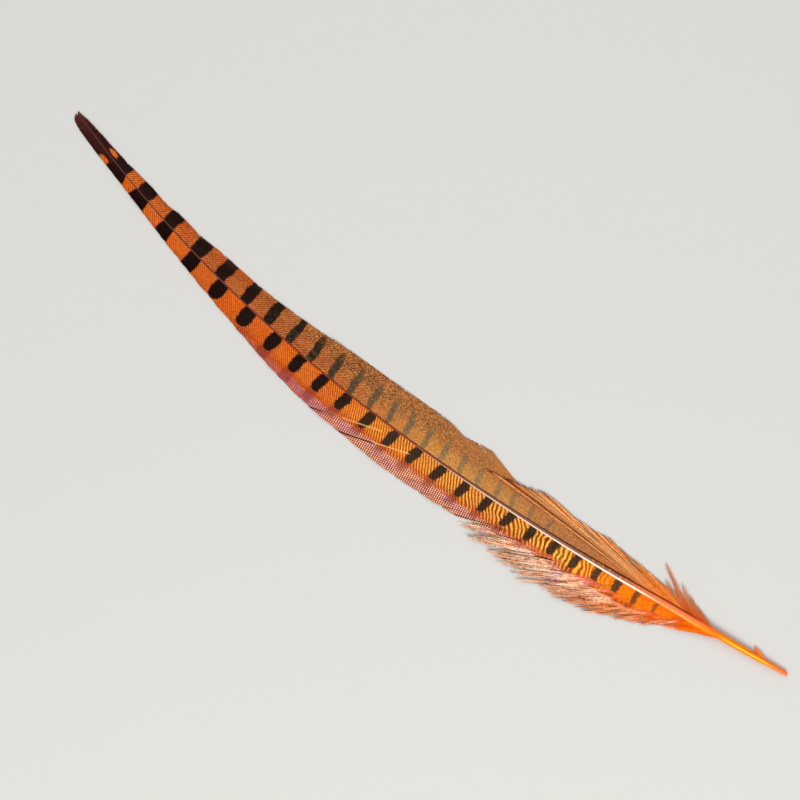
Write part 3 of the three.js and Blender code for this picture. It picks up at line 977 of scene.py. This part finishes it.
def vane_barbs(side, shape, rng, sizes):
    """All the barbs of one vane, as a group of strands."""
    edges = np.arange(VANE_START, LENGTH, sizes.barb_pitch / MM)
    count = len(edges)
    within, half, lock = lock_layout(edges, rng, *shape["locks"])
    likeness = rng.uniform(0, 1, lock.max() + 1)[lock]
    unlike = rng.uniform(0, 1, count)
    share = ring_shares(VANE_RINGS)
    guide = shape["guide"](edges)[:, None]
    foot = edges[:, None] - shape["sweep"](edges)[:, None] * guide

    def run(part):
        """Each barb runs beside its neighbours, and part is how much of the way it has gone."""
        return foot + (edges[:, None] - foot) * part ** shape["curve"](edges)[:, None]

    part = share * barb_ends(edges, run, within, shape, rng)[:, None]
    station = run(part)
    out = part * guide
    ahead = np.gradient(np.stack([station, out], -1), axis=1)
    spacing = np.abs(np.gradient(run(share * np.ones((count, 1))), axis=0))
    spacing = spacing * ahead[..., 1] / np.hypot(ahead[..., 0], ahead[..., 1])
    # Barbs draw together at the tip of each lock, sway a little and part at a split.
    station = station - (shape["pinch"](edges) * within * half)[:, None] * share**3
    station = station + SWAY * ripple(edges, rng, 16)[:, None] * share**2
    station, seam = open_splits(station, edges, share, shape["splits"])
    station = np.minimum(station, LENGTH + 0.6)
    # Each lock is crowned, and some lift off the surface at their tips.
    crown = shape["crown"] * (1 - within**2 + 0.9 * (likeness - 0.5) * within)
    lift = shape["lift"](edges) * (0.5 + 0.5 * ripple(edges, rng, 38))
    up = vane_height(station, out) + 0.08 * rng.uniform(-1, 1, count)[:, None] * share
    up = up + np.maximum(crown, 0)[:, None] * share + np.maximum(lift, 0)[:, None] * share**3
    taper = 1 - 0.4 * np.clip((share - 0.96) / 0.04, 0, 1)
    step = 0.5 * rng.uniform(-1, 1, count)[:, None]
    return {
        "paths": np.stack([station, side * out, up], -1),
        "half": sizes.overlap * np.clip(spacing, 0.09, 0.6) * taper,
        "depth": sizes.barb_depth / MM,
        "map": vane_map(shape["reach"]),
        "values": {
            "unlike": unlike,
            "order": edges,
            "share": share,
            **vane_marks(station, out, step, shape, rng),
            "seam": seam,
            "drawn": 0,
            "tone": 0,
        },
    }


# Each vane's own terms. Besides the tables above they say how much of the margin the barbs fill, the least
# share of its way that a barb goes, how wide the locks are, how ragged the margin is, how deep the notches
# between locks are, how far each lock draws together, how high it is crowned and lifts at its tip, how
# crooked the bars are, and how far out the map reaches.
LEFT_VANE = {
    "margin": LEFT_MARGIN, "guide": LEFT_MARGIN, "sweep": LEFT_SWEEP, "curve": LEFT_CURVE,
    "filled": straight((0, 1), (505, 1)), "least": straight((0, 0.97), (505, 0.97)), "locks": (7, 26),
    "ragged": 0.05, "notch": straight((60, 0.5), (200, 0.4), (250, 0.05), (505, 0.02)),
    "pinch": straight((60, 0.1), (120, 0.18), (240, 0.1), (300, 0.04), (505, 0.03)), "crown": 0.22,
    "lift": straight((60, 0.3), (180, 0.8), (300, 0.5), (380, 0.2), (505, 0.1)),
    # Splits as (margin's place, share where it starts, share where it ends, width, share where its light
    # edge ends, share where the painted shadow in its gap starts).
    "splits": (
        (152, 0.6, 1.3, 0.3, 0.6, 0.75), (176, 0.6, 1.3, 0.3, 0.6, 0.68), (201, 0.5, 1.3, 0.5, 0.55, 0.6),
        (279, 0.3, 1.05, 0.35, 0.66, 0.66), (300, 0.26, 1.05, 0.15, 0.68, 0.86),
    ),
    "bars": LEFT_BARS, "bar_reach": LEFT_BAR_REACH, "bar_lean": LEFT_BAR_LEAN,
    "bar_waist": LEFT_BAR_WAIST, "crooked": straight((60, 1.6), (94, 1.4), (104, 0.5), (505, 0.3)),
    "spot": LEFT_TIP_SPOT, "pitch": LEFT_STRIPE_PITCH, "lean": LEFT_STRIPE_LEAN, "waver": LEFT_WAVER,
    "reach": 22,
}
RIGHT_VANE = {
    "margin": RIGHT_MARGIN, "guide": RIGHT_GUIDE, "sweep": RIGHT_SWEEP, "curve": RIGHT_CURVE,
    "filled": UNDER_SHARE, "least": straight((60, 0.95), (100, 0.6), (505, 0.6)), "locks": (8, 28),
    "ragged": 0.04, "notch": straight((60, 0.4), (180, 0.1), (220, 0.02), (505, 0.02)),
    "pinch": straight((60, 0.1), (180, 0.1), (230, 0.05), (505, 0.03)), "crown": 0.2,
    "lift": straight((60, 0.4), (180, 0.5), (300, 0.4), (380, 0.2), (505, 0.1)),
    "splits": (),
    "bars": RIGHT_BARS, "bar_reach": RIGHT_BAR_REACH, "bar_lean": RIGHT_BAR_LEAN,
    "bar_waist": RIGHT_BAR_WAIST, "crooked": straight((60, 0.7), (300, 0.6), (505, 0.4)),
    "spot": RIGHT_TIP_SPOT, "pitch": RIGHT_STRIPE_PITCH, "lean": RIGHT_STRIPE_LEAN,
    "waver": RIGHT_WAVER, "reach": 23,
}


def drawn_out_barbs(rng, sizes):
    """Barbs of the lower right vane that lie drawn out along the shaft, over the barbs tipward of them."""
    count = sizes.drawn_out_barbs
    order = 1 - (1 - np.linspace(0, 1, count)) ** 1.4
    shares, *columns = np.array(DRAWN_OUT, float).T
    root, middle, middle_out, tip, tip_out = (np.interp(order, shares, column) for column in columns)
    within, _, lock = lock_layout(np.arange(count, dtype=float), rng, 7, 22)
    locks = lock.max() + 1
    share = ring_shares(VANE_RINGS)
    short = 1 - 0.03 * rng.random(count) - 0.05 * rng.random(locks)[lock] * (order < 0.7)
    roots = np.stack([root, np.full(count, 1.0)], -1)[:, None]
    tips = np.stack([tip, tip_out], -1)[:, None]
    bends = 2 * np.stack([middle, middle_out], -1)[:, None] - (roots + tips) / 2
    flat = bent_way(roots, bends, tips, (share * short[:, None])[..., None])
    flat[..., 1] -= (0.16 * within)[:, None] * share**2 * (1 + 2 * order)[:, None]
    flat[..., 1] += 0.14 * ripple(np.arange(count), rng, 23)[:, None] * np.sin(share * 7)
    for at, start, end, gap in SLITS:
        flat[..., 1] -= parting((order - at)[:, None], share, start, end, gap, SLIT_FADE)
    crown = 0.35 * (1 - within**2)[:, None] * share
    up = vane_height(flat[..., 0], flat[..., 1]) + 0.3 + crown + 0.15 * rng.random((count, 1)) * share
    tones_and_shade = 0.5 + 0.15 * ripple(np.arange(count), rng, 9) + 0.2 * rng.normal(0, 1, count)
    # Painted shade: darker at the edges of each lock, and a painted shadow line along a few strands.
    tones_and_shade -= 0.3 * np.abs(within) ** 6 + 0.35 * (np.abs(order - 0.92) < 0.012)
    return {
        "paths": np.stack([flat[..., 0], -flat[..., 1], up], -1),
        "half": 0.2 * np.minimum(1, 0.5 + 2 * share) * (1 - 0.4 * share**8),
        "depth": sizes.barb_depth / MM,
        "map": vane_map(RIGHT_VANE["reach"]),
        "values": {
            "unlike": rng.random(count),
            "order": 200 + order * 60,
            "share": share,
            **dict.fromkeys(("bar", "beside", "spot"), FAR),
            **dict.fromkeys(("stripe", "rim", "seam"), 0),
            "tip": -FAR,
            "drawn": 1,
            "tone": tones_and_shade,
        },
    }


# --- Loose barbs and down ----------------------------------------------------------------------------


LOOSE_RINGS = 13
WISP_RINGS = 11
WISP_BARBS = 20  # in each downy lock
LOWEST = 0.12  # height of a loose strand where it lies on the surface
# Half widths and depths of a hair, at its root and its tip.
HAIR_HALF = (0.05, 0.018)
HAIR_DEPTH = (0.07, 0.02)


def bent_paths(roots, tips, bend, rings):
    """Smooth paths from roots to tips, each bowed sideways by its bend. Points are (along, out)."""
    _, left = directions(tips - roots)
    middle = (roots + tips) / 2 + left * bend[:, None]
    return bent_way(roots[:, None], middle[:, None], tips[:, None], ring_shares(rings)[..., None])


def column_map(count, share):
    """A map with one narrow column for each strand, and the width of half a column."""
    column = (np.arange(count)[:, None] + 0.5) / count
    return {
        "map": np.stack(np.broadcast_arrays(column, 0.02 + 0.96 * share), -1),
        "map_width": 0.35 / count,
    }


def barbules(group, rng, length, every, flare):
    """Fine hairs on both sides of each strand, pointing out and towards its tip."""
    paths = group["paths"]
    last = len(paths[0]) - 1
    travel = np.linalg.norm(np.diff(paths[..., :2], axis=1), axis=-1).sum(1)
    strand = np.repeat(np.arange(len(paths)), np.maximum(2, travel / every).astype(int))
    spot = rng.uniform(0.12, 0.97, len(strand))
    below = np.minimum((spot * last).astype(int), last - 1)
    rest = (spot * last - below)[:, None]
    before, after = paths[strand, below], paths[strand, below + 1]
    root = before * (1 - rest) + after * rest
    ahead, left = directions((after - before)[:, :2])
    aside = left * np.where(rng.random(len(strand)) < 0.5, 1, -1)[:, None]
    size = length * rng.uniform(0.6, 1.15, len(strand)) * (1 - 0.5 * spot)
    tip = root.copy()
    tip[:, :2] += (ahead * math.cos(flare) + aside * math.sin(flare)) * size[:, None]
    tip[:, 2] += rng.uniform(-0.25, 0.45, len(strand)) * size
    hairs = np.stack([root, tip], 1)
    hairs[..., 2] = np.maximum(hairs[..., 2], 0.08)
    column = group["map"][strand, below]
    return {
        "paths": hairs,
        "half": [HAIR_HALF],
        "depth": [HAIR_DEPTH],
        "map": np.stack([column, column + (0, 0.01)], 1),
        "map_width": group["map_width"],
        "values": {key: by_ring(value, paths)[strand, below] for key, value in group["values"].items()},
    }


def loose_barb_strands(sizes, rng):
    """The long loose barbs that fringe the lower third of the left vane, drawn together in locks."""
    count = sizes.loose_barbs
    tip_along = np.sort(rng.uniform(84, 206, count))
    within, half, lock = lock_layout(tip_along, rng, 2.5, 13)
    locks = lock.max() + 1
    reach = LOOSE_REACH(tip_along)
    short = rng.uniform(0.82, 1.01, locks)[lock] * (1 - 0.08 * np.abs(within))
    short *= rng.uniform(0.45, 1, count) ** 0.5
    root_out = 0.6 * LEFT_MARGIN(tip_along - 16)
    slope = LOOSE_SLOPE(tip_along) + rng.normal(0, 0.03, locks)[lock] + rng.normal(0, 0.05, count)
    roots = np.stack([tip_along - (reach - root_out) * slope, root_out], -1)
    draw = rng.uniform(0.2, 0.75, locks)[lock] * (rng.random(count) > 0.25)
    tips = np.stack([tip_along, reach], -1)
    tips = roots + (tips - roots) * short[:, None]
    bend = rng.normal(0.3, 0.4, locks)[lock] + rng.normal(0, 0.6, count)
    share = ring_shares(LOOSE_RINGS)
    flat = bent_paths(roots, tips, bend, LOOSE_RINGS)
    sway = np.sin(share * rng.uniform(4, 9, (count, 1)) + rng.uniform(0, 6.3, (count, 1)))
    flat[..., 1] += 0.22 * sway * share * (1 - 0.6 * share)
    flat[..., 0] -= (within * half * draw)[:, None] * share**2.5
    unlike = rng.random(count)
    resting = vane_height(flat[..., 0], flat[..., 1]) + 0.1
    tip_up = (0.2 + 1 * rng.random(locks)[lock] ** 2 + 0.6 * rng.random(count))[:, None]
    up = resting + (tip_up - resting * 0.3) * share**2 + 0.14 * rng.random((count, 1))
    width = sizes.loose_width / MM * rng.uniform(0.75, 1.2, (count, 1))
    strands = {
        "paths": np.concatenate([flat, np.maximum(up, LOWEST)[..., None]], -1),
        "half": width / 2 * np.minimum(1, 0.45 + 2 * share) * (1 - 0.75 * share**2.5),
        "depth": 0.17 * (1 - 0.6 * share),
        **column_map(count, share),
        "values": {
            "unlike": unlike,
            "lock": rng.random(locks)[lock],
            "share": share,
            "order": tip_along,
            "edge": np.abs(within),
        },
    }
    return [strands, barbules(strands, rng, sizes.barbule / MM, 1.5, math.radians(38))]


def wisp_strands(sizes, rng):
    """The downy locks at the foot of both vanes."""
    share = ring_shares(WISP_RINGS)
    roots, tips, bend, tip_up, side = [], [], [], [], []
    for i, (left, root_along, tip_along, tip_out, width) in enumerate(WISPS):
        across = rng.uniform(-0.5, 0.5, WISP_BARBS)
        short = rng.uniform(0, 0.55, WISP_BARBS) ** 1.3
        start = np.stack([root_along + across * width * 1.5, np.full(WISP_BARBS, 1.0)], -1)
        end = np.array([tip_along, tip_out]) + np.stack([across * width * 0.3, -across * width * 0.3], -1)
        roots.append(start)
        tips.append(end + (start - end) * short[:, None])
        bend.append(rng.normal(-0.7, 0.5, WISP_BARBS))
        tip_up.append(0.35 + 0.7 * (i % 3) + 0.5 * rng.random(WISP_BARBS))
        side.append(np.full(WISP_BARBS, left))
    roots, tips, bend, tip_up, side = map(np.concatenate, (roots, tips, bend, tip_up, side))
    flat = bent_paths(roots, tips, bend, WISP_RINGS)
    resting = vane_height(flat[..., 0], flat[..., 1])
    up = resting + (tip_up[:, None] - resting) * share**2
    flat[..., 1] *= side[:, None]
    strands = {
        "paths": np.concatenate([flat, np.maximum(up, LOWEST)[..., None]], -1),
        "half": 0.17 * (1 - 0.75 * share),
        "depth": 0.15 * (1 - 0.6 * share),
        **column_map(len(flat), share),
        "values": {"unlike": rng.random(len(flat)), "share": share, "left": side > 0},
    }
    return [strands, barbules(strands, rng, sizes.down / MM, 0.45, math.radians(46))]


# --- Shaft -------------------------------------------------------------------------------------------


SHAFT_SIDES = 32
SHAFT_RINGS = 102
SHAFT_CROWDING = 1.25  # more than 1 lays the rings closer together at the quill
HOLLOW_STEPS = (0.6, 1.6)  # lengths that the hollow is pushed in by
HOLLOW_CLIMB = 0.1  # for each of them
FLAP_RINGS = 9


def shaft_piece(sizes, material):
    """The shaft: a tapering oval tube from the quill's cut, hollow end to the tip of the vanes."""
    shaft = ringed_cylinder(SHAFT_SIDES, SHAFT_RINGS)
    shaft.name = shaft.data.name = "shaft"
    mesh = shaft.data
    corners = corner_points(mesh)
    share = (corners[:, 2] + 0.5) ** SHAFT_CROWDING
    station = share * (LENGTH - 1)
    across, raised = corners[:, 0], corners[:, 1]
    out = across * SHAFT_WIDTH(station) / 2 - SHAFT_SHIFT(station)
    up = np.maximum(0.02, SHAFT_RISE(station) + raised * SHAFT_DEPTH(station) / 2)
    slant = 0.7 * np.clip(1 - station / 4, 0, 1)
    mesh.vertices.foreach_set("co", place(station - slant * out, out, up).ravel())
    turn = (np.arctan2(-across, raised) / (2 * math.pi) + 0.5) % 1
    lay_shaft_map(mesh, station / LENGTH, turn)
    open_quill(shaft, sizes.wall)
    bpy.ops.object.shade_smooth_by_angle(angle=math.radians(40))
    mesh.materials.append(material)
    return shaft


def lay_shaft_map(mesh, share, turn):
    """Wraps the map round the shaft once, its seam underneath."""
    places = np.stack([share, turn], -1)[loop_corners(mesh)]
    for polygon in mesh.polygons:
        loops = list(polygon.loop_indices)
        if len(loops) == 4 and np.ptp(places[loops, 1]) > 0.5:
            places[loops, 1] += np.where(places[loops, 1] < 0.5, 1, 0)
    lay_map(mesh, places)


def open_quill(shaft, wall):
    """Hollows the quill's cut end, its bottom following the quill's climb."""
    ahead = bowed(np.zeros(1))[1][0]
    deselect_parts("FACE")
    end = min(shaft.data.polygons, key=lambda polygon: (len(polygon.vertices) == 4, polygon.center.x))
    end.select = True
    bpy.ops.object.mode_set(mode="EDIT")
    bpy.ops.mesh.inset(thickness=wall)
    for depth in HOLLOW_STEPS:
        shift = (ahead[0] * depth * MM, ahead[1] * depth * MM, HOLLOW_CLIMB * MM)
        bpy.ops.mesh.extrude_region_move(TRANSFORM_OT_translate={"value": shift})
    bpy.ops.mesh.inset(thickness=wall)
    bpy.ops.object.mode_set(mode="OBJECT")


def flap_piece(material):
    """The small torn flap that stands out from the right side of the quill."""
    share = ring_shares(FLAP_RINGS)
    flat = bent_paths(np.array([[15.5, 1.3]]), np.array([[23.2, 4.6]]), np.array([-0.5]), FLAP_RINGS)
    up = 2.2 - 0.9 * share + 0.25 * np.sin(share * math.pi)
    group = {
        "paths": np.stack([flat[..., 0], -flat[..., 1], up], -1),
        "half": 1.15 * (0.75 + 0.5 * share) * (1 - share**2.5) + 0.05,
        "depth": 0.35 - 0.15 * share,
        "map": lambda flat: np.stack([flat[..., 0] / LENGTH, 0.68 + 0.02 * flat[..., 1]], -1),
        "values": {},
    }
    return add_object("flap", strand_mesh("flap", [group]), material)


# --- Operators ---------------------------------------------------------------------------------------


class FEATHER_OT_shaft(bpy.types.Operator):
    """Make the shaft from its hollow quill to the tip, with the torn flap on the quill"""

    bl_idname = "feather.shaft"
    bl_label = "Shaft"

    def execute(self, context):
        scene = context.scene
        material = shaft_finish(scene.feather_colours)
        shaft = shaft_piece(scene.feather_sizes, material)
        flap = flap_piece(material)
        deselect()
        flap.select_set(True)
        shaft.select_set(True)
        context.view_layer.objects.active = shaft
        bpy.ops.object.join()
        settle(shaft)
        return {"FINISHED"}


class FEATHER_OT_vanes(bpy.types.Operator):
    """Grow the close barbs of both vanes"""

    bl_idname = "feather.vanes"
    bl_label = "Vanes"

    def execute(self, context):
        scene = context.scene
        vanes = (
            ("left_vane", 1, LEFT_VANE, left_vane_finish, 11),
            ("right_vane", -1, RIGHT_VANE, right_vane_finish, 12),
        )
        for name, side, shape, finish, seed in vanes:
            rng = np.random.default_rng(seed)
            groups = [vane_barbs(side, shape, rng, scene.feather_sizes)]
            if side < 0:
                groups.append(drawn_out_barbs(rng, scene.feather_sizes))
            material = finish(scene.feather_colours, shape["reach"])
            settle(add_object(name, strand_mesh(name, groups), material))
        return {"FINISHED"}


class FEATHER_OT_loose_barbs(bpy.types.Operator):
    """Grow the fringe of loose barbs on the left, and the downy wisps at the foot of both vanes"""

    bl_idname = "feather.loose_barbs"
    bl_label = "Loose barbs"

    def execute(self, context):
        scene = context.scene
        pieces = (
            ("loose_barbs", loose_barb_strands, loose_barb_finish, 21),
            ("foot_down", wisp_strands, down_finish, 22),
        )
        for name, strands, finish, seed in pieces:
            mesh = strand_mesh(name, strands(scene.feather_sizes, np.random.default_rng(seed)))
            settle(add_object(name, mesh, finish(scene.feather_colours)))
        return {"FINISHED"}


FLOOR_SIZE = 12
FLOOR_HEIGHT = -0.00005  # just under the surface that the feather lies on
LIGHTS = (("key", (-0.9, 1.0, 1.5), 1.1), ("fill", (0.9, -1.1, 1.3), 1.6))  # name, place and width
SKY_COLOUR = (1, 0.985, 0.96, 1)
# The camera's aim in millimetres, its turn in degrees, the width of its film and how near and far it sees.
VIEW_CENTRE = (11.87, -9.66, 3)
VIEW_TURN = 218.4
SENSOR_WIDTH = 36
CLIP = (0.1, 50)


class FEATHER_OT_stage(bpy.types.Operator):
    """Lay the floor, set the light and aim the camera"""

    bl_idname = "feather.stage"
    bl_label = "Stage"

    def execute(self, context):
        scene = context.scene
        settings = scene.feather_stage
        deselect()
        bpy.ops.mesh.primitive_plane_add(size=FLOOR_SIZE, location=(0, 0, FLOOR_HEIGHT))
        floor = context.object
        floor.name = "floor"
        floor.data.materials.append(floor_finish(settings.floor))
        for name, location, size in LIGHTS:
            add_light(name, location, size, getattr(settings, name))
        world = bpy.data.worlds.new("surroundings")
        world.use_nodes = True
        background = world.node_tree.nodes["Background"]
        background.inputs["Color"].default_value = SKY_COLOUR
        background.inputs["Strength"].default_value = settings.sky
        scene.world = world
        scene.view_settings.view_transform = "Standard"
        add_camera(scene, settings)
        return {"FINISHED"}


def add_light(name, location, size, power):
    """A square soft light that faces the feather."""
    bpy.ops.object.light_add(type="AREA", location=location)
    light = bpy.context.object
    light.name = name
    light.data.size = size
    light.data.energy = power
    flat = math.hypot(location[0], location[1])
    turn = math.atan2(location[1], location[0]) + math.pi / 2
    light.rotation_euler = (math.atan2(flat, location[2]), 0, turn)


def add_camera(scene, settings):
    """Looks straight down on the feather, with the quill at the lower right."""
    bpy.ops.object.camera_add()
    camera = bpy.context.object
    camera.data.lens = settings.lens
    camera.data.sensor_width = SENSOR_WIDTH
    distance = settings.view_width * settings.lens / SENSOR_WIDTH
    x, y, z = (size * MM for size in VIEW_CENTRE)
    camera.location = (x, y, distance + z)
    camera.rotation_euler = (0, 0, math.radians(VIEW_TURN))
    camera.data.clip_start, camera.data.clip_end = CLIP
    scene.camera = camera


class FEATHER_PT_panel(bpy.types.Panel):
    """The feather's pieces, sizes and colours"""

    bl_idname = "FEATHER_PT_panel"
    bl_label = "Pheasant Tail Feather"
    bl_space_type = "VIEW_3D"
    bl_region_type = "UI"
    bl_category = "Feather"

    def draw(self, context):
        for operator in OPERATORS:
            self.layout.operator(operator.bl_idname)
        for name in SETTINGS:
            settings = getattr(context.scene, name)
            box = self.layout.box()
            for key in settings.bl_rna.properties.keys():
                if key not in ("rna_type", "name"):
                    box.prop(settings, key)


OPERATORS = (FEATHER_OT_shaft, FEATHER_OT_vanes, FEATHER_OT_loose_barbs, FEATHER_OT_stage)
SETTINGS = {
    "feather_sizes": FeatherSizes,
    "feather_colours": FeatherColours,
    "feather_stage": StageSettings,
}
CLASSES = (*SETTINGS.values(), *OPERATORS, FEATHER_PT_panel)


def register():
    for group in CLASSES:
        bpy.utils.register_class(group)
    for name, group in SETTINGS.items():
        setattr(bpy.types.Scene, name, bpy.props.PointerProperty(type=group))


def unregister():
    for name in SETTINGS:
        delattr(bpy.types.Scene, name)
    for group in reversed(CLASSES):
        bpy.utils.unregister_class(group)


def main():
    register()
    bpy.ops.feather.shaft()
    bpy.ops.feather.vanes()
    bpy.ops.feather.loose_barbs()
    bpy.ops.feather.stage()


if __name__ == "__main__":
    main()
